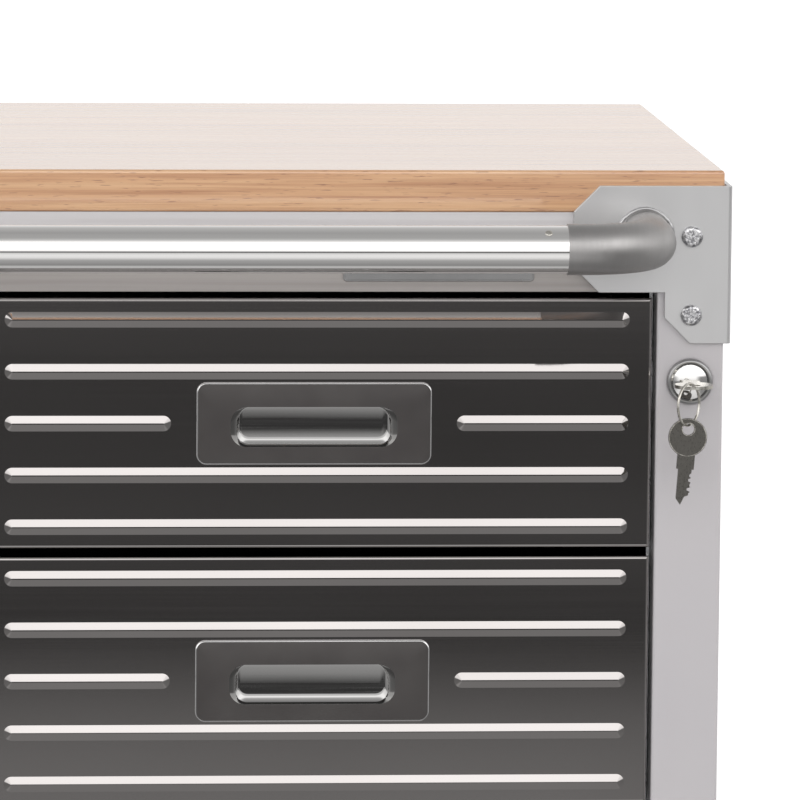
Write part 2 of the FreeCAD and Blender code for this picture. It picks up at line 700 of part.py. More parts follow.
def fork(x, y, trail, swivel):
    """Pressed fork, its axle bolt and, on a swivel caster, its king pin."""
    wheel_x = x + trail
    inner, outer = FORK_INSIDE, FORK_INSIDE + FORK_WALL
    shoulder = RACE_R if trail else RACE_R + 3
    cheek = [(x - shoulder, CROWN_Z), (x + shoulder, CROWN_Z),
             (wheel_x + 16, WHEEL_R - 6), (wheel_x + 10, WHEEL_R - 16),
             (wheel_x - 10, WHEEL_R - 16), (wheel_x - 16, WHEEL_R - 6)]
    cheeks = [prism([(px, y0, pz) for px, pz in cheek], (0, FORK_WALL, 0))
              for y0 in (y - outer, y + inner)]
    crown = rod(RACE_R, (x, y, CROWN_Z - FORK_WALL), (x, y, CROWN_Z))
    bridge = block(x - RACE_R + 1, x + RACE_R - 1, y - outer, y + outer,
                   CROWN_Z - FORK_WALL, CROWN_Z)
    body = fuse([crown, bridge] + cheeks)
    hole = rod(BOLT_R, (wheel_x, y - 2 * outer, WHEEL_R), (wheel_x, y + 2 * outer, WHEEL_R))
    body = body.cut(hole)
    radius, height = HEX_AXLE
    bolt = fuse([rod(BOLT_R, (wheel_x, y - outer, WHEEL_R), (wheel_x, y + outer, WHEEL_R)),
                 hexagon(radius, wheel_x, WHEEL_R, y - outer - height, y - outer),
                 hexagon(radius, wheel_x, WHEEL_R, y + outer, y + outer + height)])
    if swivel:
        joint = rod(AXLE_R, (x, y, CROWN_Z), (x, y, BASE_Z - 0.5))
    else:
        joint = rod(RACE_R - 3, (x, y, CROWN_Z), (x, y, CROWN_Z + RACE_GAP))
    return [fuse([body, joint]), bolt]


def wheel(x, y):
    """Rounded tread ring on a stepped hub with a plain bore."""
    half = WHEEL_T / 2
    bore = rod(BOLT_R + AXLE_CLEARANCE, (x, y - WHEEL_T, WHEEL_R), (x, y + WHEEL_T, WHEEL_R))
    tread = rod(WHEEL_R, (x, y - half, WHEEL_R), (x, y + half, WHEEL_R))
    tread = tread.makeFillet(7, [e for e in tread.Edges if isinstance(e.Curve, Part.Circle)])
    tread = tread.cut(rod(HUB_R, (x, y - half - 1, WHEEL_R), (x, y + half + 1, WHEEL_R)))
    rim = rod(HUB_R, (x, y - half + 2, WHEEL_R), (x, y + half - 2, WHEEL_R))
    boss = rod(14, (x, y - half - 1, WHEEL_R), (x, y + half + 1, WHEEL_R))
    hub = fuse([rim, boss])
    for side in (-1, 1):
        face = y + side * (half - 2)
        dish = rod(37, (x, face, WHEEL_R), (x, face - side * 5, WHEEL_R))
        core = rod(18, (x, face, WHEEL_R), (x, face - side * 5, WHEEL_R))
        hub = hub.cut(dish.cut(core))
    return [tread, hub.cut(bore)]


def brake_pivot(x, trail):
    """Pivot of a brake lever: above the wheel on its trailing side."""
    return x + trail + BRAKE_OUT, WHEEL_R + BRAKE_UP


def brake_lever(x, y, trail):
    """Pedal and brake shoe on a cross tube, hinged behind the crown."""
    px, pz = brake_pivot(x, trail)
    half = WHEEL_T / 2 + 1
    shoe = block(px - 3, px + 1.5, y - 12, y + 12, pz - 16, pz)
    tube = rod(4.5, (px, y - half, pz), (px, y + half, pz))
    bore = rod(BRAKE_PIN_R + AXLE_CLEARANCE, (px, y - half - 1, pz), (px, y + half + 1, pz))
    pedal = prism([(px, y - half, pz + 2.5), (px + 34, y - half, pz - 7.5),
                   (px + 33.3, y - half, pz - 9.8), (px, y - half, pz - 1.0)],
                  (0, 2 * half, 0))
    return fuse([tube, pedal, shoe]).cut(bore)


def brake_arms(x, y, trail):
    """Two ears welded to the fork and the lever's pin."""
    px, pz = brake_pivot(x, trail)
    outer = FORK_INSIDE + FORK_WALL
    outline = [(x + 10, CROWN_Z), (x + 10, CROWN_Z - 16), (px - 3, pz - 7), (px + 6, pz - 3),
               (px + 6, pz + 5), (px, CROWN_Z)]
    ears = [prism([(ex, y0, ez) for ex, ez in outline], (0, FORK_WALL, 0))
            for y0 in (y - outer, y + FORK_INSIDE)]
    return ears + [rod(BRAKE_PIN_R, (px, y - outer, pz), (px, y + outer, pz))]


# ------------------------------------------------------------------------ write nodes
def write_cabinet():
    """Everything that stands still."""
    export("worktop", worktop())
    export("corner_posts", *corner_posts())
    export("front_rail", front_rail())
    export("top_rails", *top_rails())
    export("bottom_rails", *bottom_rails())
    export("side_panels", *side_panels())
    export("back_panel", back_panel())
    export("base_pan", base_pan())
    export("centre_divider", *centre_divider())
    bracket = bracket_right().cut(screw_shanks())
    export("corner_brackets", bracket, mirrored(bracket))
    export("bracket_screws", *bracket_screws())
    elbow = elbow_right()
    export("bar_elbows", elbow, mirrored(elbow))
    export("push_bar", push_bar())


def write_drawers():
    """Six drawers and their slides."""
    outers = []
    for name, x0, x1, z0, z1 in drawer_boxes():
        outer, middle, inner = slide_members(x0, x1, z0)
        outers += outer
        export("drawer_front_" + name, drawer_front(x0, x1, z0, z1))
        export("drawer_pull_" + name, *drawer_pull(x0, x1, z0, z1))
        export("drawer_tray_" + name, *drawer_tray(x0, x1, z0, z1))
        export("slide_inner_" + name, *inner)
        export("slide_middle_" + name, *middle)
    export("slide_outers", *outers)


def write_lock():
    """Lock, keys and the sliding bars."""
    export("lock_housing", lock_housing())
    export("lock_plug", lock_plug())
    export("lock_key", lock_key())
    export("key_ring", key_ring())
    export("spare_key", spare_key())
    export("lock_bars", *lock_bars())


def write_casters():
    """Rigid casters on the left; swivel casters on the right, modelled as their mirror."""
    x = -HALF_W + CASTER_INSET_X
    plates, rigid = [], []
    for row, y in caster_rows().items():
        mount = [caster_plate(x, y)] + plate_bolts(x, y)
        plates += mount + [mirrored(piece) for piece in mount]
        rigid += fork(x, y, 0.0, False)
        export("wheel_" + row + "_left", *wheel(x, y))
        body, bolt = fork(x, y, TRAIL, True)
        body = fuse([body] + brake_arms(x, y, TRAIL))
        export("swivel_fork_" + row, mirrored(body), mirrored(bolt))
        export("brake_lever_" + row, mirrored(brake_lever(x, y, TRAIL)))
        export("wheel_" + row + "_right", *[mirrored(p) for p in wheel(x + TRAIL, y)])
    export("caster_plates", *plates)
    export("rigid_forks", *rigid)


os.makedirs("parts", exist_ok=True)
write_cabinet()
write_drawers()
write_lock()
write_casters()
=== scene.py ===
"""Looks of the rolling workbench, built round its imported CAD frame.  Metres, +Z up."""

import math

import bmesh
import bpy
from mathutils import Matrix, Vector


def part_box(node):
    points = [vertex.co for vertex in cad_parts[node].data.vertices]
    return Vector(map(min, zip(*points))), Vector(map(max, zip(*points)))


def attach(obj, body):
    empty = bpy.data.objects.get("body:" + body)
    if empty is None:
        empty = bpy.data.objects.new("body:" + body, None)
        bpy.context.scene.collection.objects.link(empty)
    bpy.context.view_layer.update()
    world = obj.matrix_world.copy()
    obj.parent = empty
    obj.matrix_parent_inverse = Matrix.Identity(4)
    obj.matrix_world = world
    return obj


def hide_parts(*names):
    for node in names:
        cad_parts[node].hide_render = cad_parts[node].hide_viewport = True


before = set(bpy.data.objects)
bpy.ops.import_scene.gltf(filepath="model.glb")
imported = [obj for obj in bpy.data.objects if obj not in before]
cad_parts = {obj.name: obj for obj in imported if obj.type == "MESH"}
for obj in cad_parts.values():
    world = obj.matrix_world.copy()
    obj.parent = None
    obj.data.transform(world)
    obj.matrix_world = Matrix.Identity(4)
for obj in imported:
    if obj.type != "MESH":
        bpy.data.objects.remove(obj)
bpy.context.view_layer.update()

MM = 0.001
COLUMNS = ("left", "right")
ROWS = ("top", "middle", "bottom")
DRAWERS = [column + "_" + row for column in COLUMNS for row in ROWS]

rail_low, rail_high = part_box("front_rail")
post_low, post_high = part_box("corner_posts")
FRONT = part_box("worktop")[0].y          # plane of the posts and drawer fronts
SLIDE_SPACE = 5.7 * MM                  # width of the slide beside a tray, inside its box


# ----------------------------------------------------------------------------- camera
CAMERA_X = -0.065
CAMERA_AWAY = 4.268                     # in front of the drawers
CAMERA_HEIGHT = 1.3138
YAW, PITCH, ROLL = 0.07704, -0.12776, 0.00919
LENS = 325.7                            # millimetres, on a 36 mm sensor


def make_camera():
    """Long lens, a little above the top and left of the middle, on the right corner."""
    camera = bpy.data.objects.new("camera", bpy.data.cameras.new("camera"))
    bpy.context.scene.collection.objects.link(camera)
    camera.location = (CAMERA_X, FRONT - CAMERA_AWAY, CAMERA_HEIGHT)
    aim = Vector((math.sin(YAW) * math.cos(PITCH), math.cos(YAW) * math.cos(PITCH),
                  math.sin(PITCH)))
    turn = aim.to_track_quat("-Z", "Y").to_matrix()
    camera.rotation_mode = "QUATERNION"
    camera.rotation_quaternion = (turn @ Matrix.Rotation(ROLL, 3, "Z")).to_quaternion()
    camera.data.sensor_width = 36.0
    camera.data.lens = LENS
    camera.data.clip_end = 60.0
    bpy.context.scene.camera = camera


# --------------------------------------------------------------------- material helpers
def display(red, green, blue):
    """A colour as it looks on a screen, 0 to 255, turned into linear values."""
    def linear(value):
        """One channel."""
        value /= 255
        return value / 12.92 if value <= 0.04045 else ((value + 0.055) / 1.055) ** 2.4
    return linear(red), linear(green), linear(blue), 1.0


class Surface:
    """A Principled material and short calls that add nodes to it."""

    def __init__(self, name, base, metallic=0.0, roughness=0.5, **sockets):
        self.material = bpy.data.materials.new(name)
        self.material.use_nodes = True
        self.nodes = self.material.node_tree.nodes
        self.links = self.material.node_tree.links
        self.shader = self.nodes["Principled BSDF"]
        self.set("Base Color", base)
        self.set("Metallic", metallic)
        self.set("Roughness", roughness)
        for socket, value in sockets.items():
            self.set(socket.replace("_", " "), value)
        self.place = self.add("ShaderNodeTexCoord").outputs["Object"]

    def set(self, socket, value):
        """A constant on the shader itself."""
        self.shader.inputs[socket].default_value = value

    def add(self, kind, **settings):
        """A new node with its properties."""
        node = self.nodes.new(kind)
        for name, value in settings.items():
            setattr(node, name, value)
        return node

    def link(self, output, target):
        """Join an output to an input, or to a socket of the shader by its name."""
        if isinstance(target, str):
            target = self.shader.inputs[target]
        self.links.new(output, target)

    def noise(self, stretch, detail=3.0, roughness=0.55, distortion=0.0):
        """Noise in object space; stretch is features per metre along X, Y and Z."""
        mapping = self.add("ShaderNodeMapping")
        mapping.inputs["Scale"].default_value = stretch
        self.link(self.place, mapping.inputs["Vector"])
        noise = self.add("ShaderNodeTexNoise")
        noise.inputs["Scale"].default_value = 1.0
        noise.inputs["Detail"].default_value = detail
        noise.inputs["Roughness"].default_value = roughness
        noise.inputs["Distortion"].default_value = distortion
        self.link(mapping.outputs["Vector"], noise.inputs["Vector"])
        return noise.outputs["Fac"]

    def ramp(self, value, stops):
        """Colours at places from 0 to 1."""
        ramp = self.add("ShaderNodeValToRGB")
        elements = ramp.color_ramp.elements
        while len(elements) < len(stops):
            elements.new(0.5)
        for element, (place, colour) in zip(elements, stops):
            element.position = place
            element.color = colour
        self.link(value, ramp.inputs["Fac"])
        return ramp.outputs["Color"]

    def span(self, value, low, high, to_low, to_high):
        """A value carried from one range to another."""
        span = self.add("ShaderNodeMapRange")
        for socket, number in (("From Min", low), ("From Max", high),
                               ("To Min", to_low), ("To Max", to_high)):
            span.inputs[socket].default_value = number
        self.link(value, span.inputs["Value"])
        return span.outputs["Result"]

    def math(self, operation, *values):
        """Arithmetic on outputs and numbers."""
        node = self.add("ShaderNodeMath", operation=operation)
        for socket, value in zip(node.inputs, values):
            if isinstance(value, (int, float)):
                socket.default_value = value
            else:
                self.link(value, socket)
        return node.outputs["Value"]

    def mix(self, factor, first, second, blend="MIX"):
        """One colour over another."""
        mix = self.add("ShaderNodeMix", data_type="RGBA", blend_type=blend)
        sockets = {s.name: s for s in mix.inputs if s.enabled}
        for name, value in (("Factor", factor), ("A", first), ("B", second)):
            if isinstance(value, (int, float, tuple)):
                sockets[name].default_value = value
            else:
                self.link(value, sockets[name])
        return next(s for s in mix.outputs if s.enabled)

    def bump(self, height, strength, depth):
        """Small relief, its depth in metres."""
        bump = self.add("ShaderNodeBump")
        bump.inputs["Strength"].default_value = strength
        bump.inputs["Distance"].default_value = depth
        self.link(height, bump.inputs["Height"])
        self.link(bump.outputs["Normal"], "Normal")


# --------------------------------------------------------------------------- materials
def beech():
    """Oiled beech: glued staves, long streaks, short dark flecks and a thin lacquer."""
    wood = Surface("beech", display(205, 160, 122), roughness=0.38, IOR=1.75,
                   Coat_Weight=1.0, Coat_Roughness=0.1, Coat_IOR=2.0)
    axes = wood.add("ShaderNodeSeparateXYZ")
    wood.link(wood.place, axes.inputs["Vector"])
    stave = wood.math("FLOOR", wood.math("DIVIDE", axes.outputs["Y"], 0.046))
    chance = wood.add("ShaderNodeTexWhiteNoise", noise_dimensions="1D")
    wood.link(stave, chance.inputs["W"])
    streaks = wood.noise((2.6, 60, 190), detail=6, roughness=0.62, distortion=0.5)
    fine = wood.noise((9, 300, 620), detail=4, roughness=0.6)
    flecks = wood.noise((90, 900, 1100), detail=2, roughness=0.5)
    colour = wood.ramp(streaks, [(0.30, display(194, 136, 88)), (0.46, display(219, 166, 117)),
                                 (0.60, display(229, 182, 134)), (0.74, display(206, 149, 99))])
    tone = wood.span(chance.outputs["Value"], 0.0, 1.0, 0.93, 1.05)
    shade = wood.add("ShaderNodeCombineColor")
    for channel in ("Red", "Green", "Blue"):
        wood.link(tone, shade.inputs[channel])
    colour = wood.mix(1.0, colour, shade.outputs["Color"], "MULTIPLY")
    lines = wood.ramp(fine, [(0.36, display(214, 190, 168)), (0.56, display(255, 255, 255))])
    colour = wood.mix(0.55, colour, lines, "MULTIPLY")
    dashes = wood.ramp(flecks, [(0.30, display(150, 104, 70)), (0.37, display(255, 255, 255))])
    colour = wood.mix(0.6, colour, dashes, "MULTIPLY")
    wood.link(colour, "Base Color")
    wood.link(wood.span(fine, 0.3, 0.7, 0.36, 0.5), "Roughness")
    wood.bump(fine, 0.25, 0.0002)
    return wood.material


def grey_paint():
    """Light grey powder coat with fine orange peel."""
    paint = Surface("grey_paint", display(185, 182, 185), roughness=0.36)
    cloud = paint.noise((7, 7, 5), detail=2)
    paint.link(paint.ramp(cloud, [(0.3, display(184, 181, 184)), (0.7, display(187, 184, 186))]),
               "Base Color")
    peel = paint.noise((900, 900, 900), detail=2)
    paint.link(paint.span(peel, 0.3, 0.7, 0.32, 0.42), "Roughness")
    paint.bump(peel, 0.18, 0.00008)
    return paint.material


LIP_HEIGHT = 8.6 * MM                   # the front rail's proud upper edge


def rail_paint_and_shadow():
    """The front rail: painted light on the lip, painted shadow of the push bar on the recessed
    face below.
    """
    paint = Surface("rail_paint_and_shadow", display(156, 151, 148), roughness=0.3)
    axes = paint.add("ShaderNodeSeparateXYZ")
    paint.link(paint.place, axes.inputs["Vector"])
    lip = rail_high.z - LIP_HEIGHT
    # Height mask: the lip above it gets painted light, the face below it painted shadow of the
    # push bar
    above = paint.span(axes.outputs["Z"], lip, lip + 0.3 * MM, 0.0, 1.0)
    streak = paint.noise((3, 120, 240), detail=3)
    # grey paint darkened as painted shadow of the push bar on the recessed face
    face = paint.ramp(streak, [(0.35, display(150, 145, 142)), (0.65, display(163, 158, 155))])
    # grey paint lightened as painted light from above, on the lip
    bright = paint.ramp(streak, [(0.35, display(197, 194, 195)), (0.65, display(207, 205, 206))])
    paint.link(paint.mix(above, face, bright), "Base Color")
    peel = paint.noise((800, 800, 800), detail=2)
    paint.bump(peel, 0.15, 0.00008)
    return paint.material


def graphite_steel():
    """Dark polished stainless sheet with faint brushing along X."""
    steel = Surface("graphite_steel", (0.44, 0.42, 0.413, 1), metallic=1.0, roughness=0.04)
    brush = steel.noise((5, 700, 1500), detail=4, roughness=0.65)
    cross = steel.noise((520, 400, 9), detail=2)
    cloud = steel.noise((3, 3, 6), detail=2)
    steel.link(steel.ramp(cloud, [(0.3, (0.41, 0.39, 0.383, 1)), (0.7, (0.47, 0.45, 0.443, 1))]),
               "Base Color")
    steel.link(steel.span(brush, 0.3, 0.7, 0.03, 0.055), "Roughness")
    steel.bump(steel.math("ADD", brush, steel.math("MULTIPLY", cross, 0.6)), 0.01, 0.00001)
    return steel.material


def satin_steel(name="satin_steel", tone=0.68, low=0.34, high=0.42):
    """Rolled stainless plate with a satin, slightly clouded face."""
    steel = Surface(name, (tone, tone, tone, 1), metallic=1.0, roughness=0.34)
    cloud = steel.noise((16, 16, 9), detail=3, roughness=0.5)
    grain = steel.noise((60, 900, 1400), detail=3)
    dark, light = tone * 0.95, tone * 1.04
    steel.link(steel.ramp(cloud, [(0.32, (dark, dark, dark * 1.005, 1)),
                                  (0.68, (light, light, light * 1.005, 1))]), "Base Color")
    steel.link(steel.span(cloud, 0.3, 0.7, low, high), "Roughness")
    steel.bump(grain, 0.10, 0.00004)
    return steel.material


def elbow_steel():
    """Satin tube, brushed round its girth."""
    steel = Surface("elbow_steel", (0.43, 0.421, 0.417, 1), metallic=1.0, roughness=0.42)
    rings = steel.noise((900, 60, 60), detail=3)
    cloud = steel.noise((45, 45, 45), detail=3)
    steel.link(steel.ramp(cloud, [(0.3, (0.40, 0.392, 0.388, 1)), (0.7, (0.46, 0.451, 0.447, 1))]),
               "Base Color")
    steel.link(steel.span(rings, 0.3, 0.7, 0.37, 0.47), "Roughness")
    steel.bump(rings, 0.12, 0.00004)
    return steel.material


def chrome(name="chrome", tone=0.95):
    """Polished plating with a breath of haze and hairline scratches along X."""
    plate = Surface(name, (tone, tone * 0.994, tone * 0.983, 1), metallic=1.0, roughness=0.05)
    hair = plate.noise((14, 900, 1400), detail=3)
    plate.link(plate.span(hair, 0.45, 0.75, 0.035, 0.10), "Roughness")
    plate.bump(hair, 0.02, 0.00002)
    return plate.material


def screw_chrome():
    """Bright plating on rough cold-headed screws."""
    plate = Surface("screw_chrome", (0.80, 0.80, 0.81, 1), metallic=1.0, roughness=0.14)
    dimples = plate.noise((620, 620, 620), detail=2)
    plate.link(plate.ramp(dimples, [(0.36, (0.30, 0.30, 0.32, 1)), (0.62, (0.84, 0.84, 0.85, 1))]),
               "Base Color")
    plate.link(plate.span(dimples, 0.3, 0.7, 0.10, 0.26), "Roughness")
    plate.bump(dimples, 0.7, 0.0006)
    return plate.material


def nickel():
    """Worn nickel plate of the key in the lock, the ring and the small plugs."""
    plate = Surface("nickel", (0.68, 0.66, 0.61, 1), metallic=1.0, roughness=0.22)
    wear = plate.noise((260, 260, 260), detail=4)
    plate.link(plate.ramp(wear, [(0.3, (0.50, 0.48, 0.43, 1)), (0.65, (0.76, 0.74, 0.69, 1))]),
               "Base Color")
    plate.link(plate.span(wear, 0.3, 0.7, 0.16, 0.36), "Roughness")
    plate.bump(plate.noise((1200, 1200, 1200), detail=2), 0.1, 0.00004)
    return plate.material


def key_steel():
    """Dull darkened steel of the spare key."""
    plate = Surface("key_steel", (0.30, 0.285, 0.27, 1), metallic=1.0, roughness=0.3)
    wear = plate.noise((1500, 1500, 700), detail=3)
    plate.link(plate.ramp(wear, [(0.25, (0.135, 0.13, 0.118, 1)),
                                 (0.75, (0.175, 0.168, 0.155, 1))]), "Base Color")
    plate.link(plate.span(wear, 0.3, 0.7, 0.26, 0.34), "Roughness")
    plate.bump(plate.noise((1500, 1500, 400), detail=2), 0.12, 0.00004)
    return plate.material


def zinc():
    """Bright zinc plate with faint spangle."""
    plate = Surface("zinc", (0.62, 0.63, 0.64, 1), metallic=1.0, roughness=0.3)
    spangle = plate.noise((120, 120, 120), detail=3, distortion=1.0)
    plate.link(plate.ramp(spangle, [(0.3, (0.54, 0.55, 0.565, 1)), (0.7, (0.70, 0.71, 0.72, 1))]),
               "Base Color")
    plate.link(plate.span(spangle, 0.3, 0.7, 0.22, 0.4), "Roughness")
    plate.bump(spangle, 0.08, 0.00005)
    return plate.material


def pull_grey():
    """Dark grey satin plate of the pulls."""
    plate = Surface("pull_grey", (0.060, 0.055, 0.054, 1), roughness=0.34, metallic=0.35)
    grain = plate.noise((700, 700, 700), detail=3)
    cloud = plate.noise((30, 30, 30), detail=2)
    plate.link(plate.ramp(cloud, [(0.3, (0.052, 0.047, 0.046, 1)),
                                  (0.7, (0.068, 0.063, 0.061, 1))]), "Base Color")
    plate.link(plate.span(grain, 0.3, 0.7, 0.3, 0.42), "Roughness")
    plate.bump(grain, 0.12, 0.00004)
    return plate.material


def tray_paint():
    """Dark textured coat inside the drawers."""
    paint = Surface("tray_paint", display(66, 66, 68), roughness=0.5)
    grain = paint.noise((520, 520, 520), detail=3)
    paint.link(paint.ramp(grain, [(0.3, display(58, 58, 60)), (0.7, display(74, 74, 76))]),
               "Base Color")
    paint.link(paint.span(grain, 0.3, 0.7, 0.42, 0.58), "Roughness")
    paint.bump(grain, 0.35, 0.00015)
    return paint.material


def black_paint():
    """Semi-gloss black of the brake pedals."""
    paint = Surface("black_paint", display(34, 34, 36), roughness=0.35)
    wear = paint.noise((300, 300, 300), detail=4)
    paint.link(paint.ramp(wear, [(0.3, display(28, 28, 30)), (0.72, display(52, 52, 54))]),
               "Base Color")
    paint.link(paint.span(wear, 0.3, 0.7, 0.28, 0.46), "Roughness")
    paint.bump(wear, 0.15, 0.0001)
    return paint.material


def rubber(name="rubber"):
    """Grey tread rubber, scuffed and dusty."""
    tread = Surface(name, display(70, 70, 72), roughness=0.75)
    scuff = tread.noise((160, 160, 160), detail=5, roughness=0.65)
    tread.link(tread.ramp(scuff, [(0.3, display(56, 56, 58)), (0.7, display(88, 87, 86))]),
               "Base Color")
    tread.link(tread.span(scuff, 0.3, 0.7, 0.65, 0.88), "Roughness")
    tread.bump(scuff, 0.35, 0.0003)
    return tread.material


def hub_plastic():
    """Moulded light grey hub."""
    hub = Surface("hub_plastic", display(150, 151, 154), roughness=0.48)
    grain = hub.noise((420, 420, 420), detail=3)
    hub.link(hub.ramp(grain, [(0.3, display(142, 143, 146)), (0.7, display(158, 159, 162))]),
             "Base Color")
    hub.bump(grain, 0.25, 0.0001)
    return hub.material


def liner_rubber():
    """Black ribbed drawer liner."""
    liner = Surface("liner_rubber", display(38, 38, 40), roughness=0.8)
    axes = liner.add("ShaderNodeSeparateXYZ")
    liner.link(liner.place, axes.inputs["Vector"])
    ridge = liner.math("PINGPONG", axes.outputs["X"], 0.0015)
    grain = liner.noise((500, 500, 500), detail=3)
    liner.link(liner.ramp(grain, [(0.3, display(30, 30, 32)), (0.7, display(50, 50, 52))]),
               "Base Color")
    liner.bump(ridge, 0.6, 0.4)
    return liner.material


FADE_FROM, FADE_TO = 1.2, 3.4           # metres from the bench, where the floor turns white
FLOOR_GLOW = 0.5


def floor_paint():
    """Pale studio floor."""
    floor = Surface("floor_paint", display(243, 243, 244), roughness=0.8)
    cloud = floor.noise((1.5, 1.5, 1.5), detail=3)
    floor.link(floor.ramp(cloud, [(0.3, display(240, 240, 241)), (0.7, display(246, 246, 246))]),
               "Base Color")
    reach = floor.add("ShaderNodeVectorMath", operation="LENGTH")
    floor.link(floor.place, reach.inputs[0])
    floor.set("Emission Color", (1, 1, 1, 1))
    floor.link(floor.span(reach.outputs["Value"], FADE_FROM, FADE_TO, 0.0, FLOOR_GLOW),
               "Emission Strength")
    return floor.material


# ------------------------------------------------------------------- mesh making helpers
def piece(name, vertices, faces, body, materials, smooth=True, marks=None):
    """A mesh object that rides on a body; marks gives each face's material."""
    mesh = bpy.data.meshes.new(name)
    mesh.from_pydata([tuple(v) for v in vertices], [], faces)
    for material in materials:
        mesh.materials.append(material)
    for i, polygon in enumerate(mesh.polygons):
        polygon.use_smooth = smooth
        if marks:
            polygon.material_index = marks[i]
    made = bmesh.new()
    made.from_mesh(mesh)
    bmesh.ops.recalc_face_normals(made, faces=made.faces)
    made.to_mesh(mesh)
    made.free()
    thing = bpy.data.objects.new(name, mesh)
    bpy.context.scene.collection.objects.link(thing)
    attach(thing, body)
    return thing


class Mesh:
    """Vertices, faces and face materials, gathered ring by ring."""

    def __init__(self):
        self.vertices, self.faces, self.marks = [], [], []

    def ring(self, points):
        """Adds points and gives their indices."""
        start = len(self.vertices)
        self.vertices += [Vector(p) for p in points]
        return list(range(start, start + len(points)))

    def bridge(self, first, second, mark=0, closed=True):
        """Quads between two rings of one length."""
        count = len(first)
        for i in range(count if closed else count - 1):
            j = (i + 1) % count
            self.face([first[i], first[j], second[j], second[i]], mark)

    def face(self, corners, mark=0):
        """One face."""
        self.faces.append(corners)
        self.marks.append(mark)

    def loft(self, rings, mark=0, cap_start=False, cap_end=False):
        """Rings joined in a row."""
        indices = [self.ring(points) for points in rings]
        for first, second in zip(indices, indices[1:]):
            self.bridge(first, second, mark)
        if cap_start:
            self.face(indices[0][::-1], mark)
        if cap_end:
            self.face(indices[-1], mark)
        return indices

    def spin(self, profile, centre, along, segments, mark=0):
        """A lathed shape: profile is (distance along, radius) pairs; ends close at radius 0."""
        along = Vector(along).normalized()
        side = along.orthogonal().normalized()
        up = along.cross(side)
        rings = []
        for distance, radius in profile:
            middle = Vector(centre) + along * distance
            if radius <= 0:
                rings.append([len(self.vertices)])
                self.vertices.append(middle)
                continue
            rings.append(self.ring([middle + (side * math.cos(a) + up * math.sin(a)) * radius
                                    for a in turns(segments)]))
        for first, second in zip(rings, rings[1:]):
            if len(first) == 1 or len(second) == 1:
                point, ring = (first[0], second) if len(first) == 1 else (second[0], first)
                for i in range(segments):
                    self.face([point, ring[i], ring[(i + 1) % segments]], mark)
            else:
                self.bridge(first, second, mark)

    def make(self, name, body, materials, smooth=True):
        """The finished object."""
        return piece(name, self.vertices, self.faces, body, materials, smooth, self.marks)


def turns(count):
    """Angles once round."""
    return [math.tau * i / count for i in range(count)]


def middle_of(low, high):
    """Half way."""
    return (low + high) / 2


def rounded(x0, x1, z0, z1, radius, y, steps=8):
    """A rounded rectangle that faces -Y."""
    points = []
    corners = ((x1, z1, 0), (x0, z1, 90), (x0, z0, 180), (x1, z0, 270))
    for x, z, start in corners:
        cx = x - radius if x == x1 else x + radius
        cz = z - radius if z == z1 else z + radius
        for i in range(steps + 1):
            angle = math.radians(start + 90 * i / steps)
            points.append((cx + radius * math.cos(angle), y, cz + radius * math.sin(angle)))
    return points


def smoothed(thing, degrees):
    """Smooth shading that keeps edges sharper than an angle."""
    limit = math.radians(degrees)
    mesh = thing.data
    made = bmesh.new()
    made.from_mesh(mesh)
    for edge in made.edges:
        edge.smooth = edge.is_manifold and edge.calc_face_angle(0.0) < limit
    made.to_mesh(mesh)
    made.free()
    return thing


# ------------------------------------------------------------------------------- pulls
CUP_DEPTH = 7.0 * MM
CUP_HALF = (49.8 * MM, 12 * MM)         # half the mouth's width and height
CUP_DROP = 2 * MM                       # the mouth's middle under the plate's
MOUTH_R = 9.4                           # millimetres, as the walls below
CUP_WALLS = (                           # depth, then inset of sides, bottom and top, and radius
    (0.0, 0.0, 0.0, 0.0, MOUTH_R), (0.35, 0.25, 0.08, 0.05, 9.2), (2.8, 2.0, 0.35, 0.15, 8.3),
    (5.1, 3.7, 0.5, 0.3, 7.5), (5.4, 4.0, 0.9, 0.35, 7.2), (6.7, 5.2, 3.6, 0.6, 6.3),
    (6.95, 5.5, 4.3, 0.8, 6.0))


